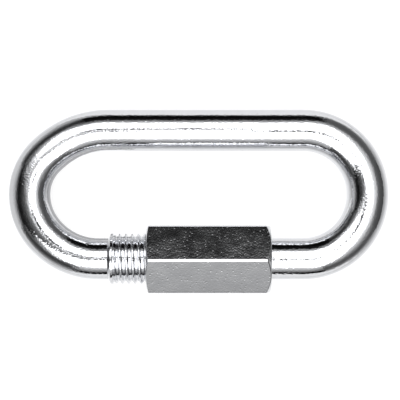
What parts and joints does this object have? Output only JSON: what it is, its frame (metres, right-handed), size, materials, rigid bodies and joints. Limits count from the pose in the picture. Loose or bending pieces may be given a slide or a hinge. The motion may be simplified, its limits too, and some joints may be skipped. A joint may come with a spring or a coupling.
{
  "type": "quick link",
  "caption": "Oval connecting link bent from a round steel rod, with a gap in its side that a long hexagonal sleeve nut closes and uncovers.",
  "frame": {"origin": "middle of the closed link's bounding box; the rod is bent in the plane z = 0", "axes": "+X along the eye's length, from the bow beside the exposed thread to the bow beside the gate; +Y across the eye, from the bar with the nut to the plain bar; +Z square to the plane of the link, up when it lies flat"},
  "size_m": [0.091, 0.0438, 0.0182],
  "materials": {
    "bright_zinc_rod": "bright zinc plate over a drawn rod, glossy, with fine ripple and speckle",
    "grey_zinc_nut": "greyer zinc plate over a rolled hexagon, satin, with fine mottling"
  },
  "bodies": {
    "link": {"link_body": "bright_zinc_rod"},
    "nut": {"sleeve_nut": "grey_zinc_nut"}
  },
  "joints": [
    {"name": "nut_travel", "type": "slide", "parent": "link", "child": "nut", "axis": [1, 0, 0], "range_m": [-0.0135, 0]}
  ]
}
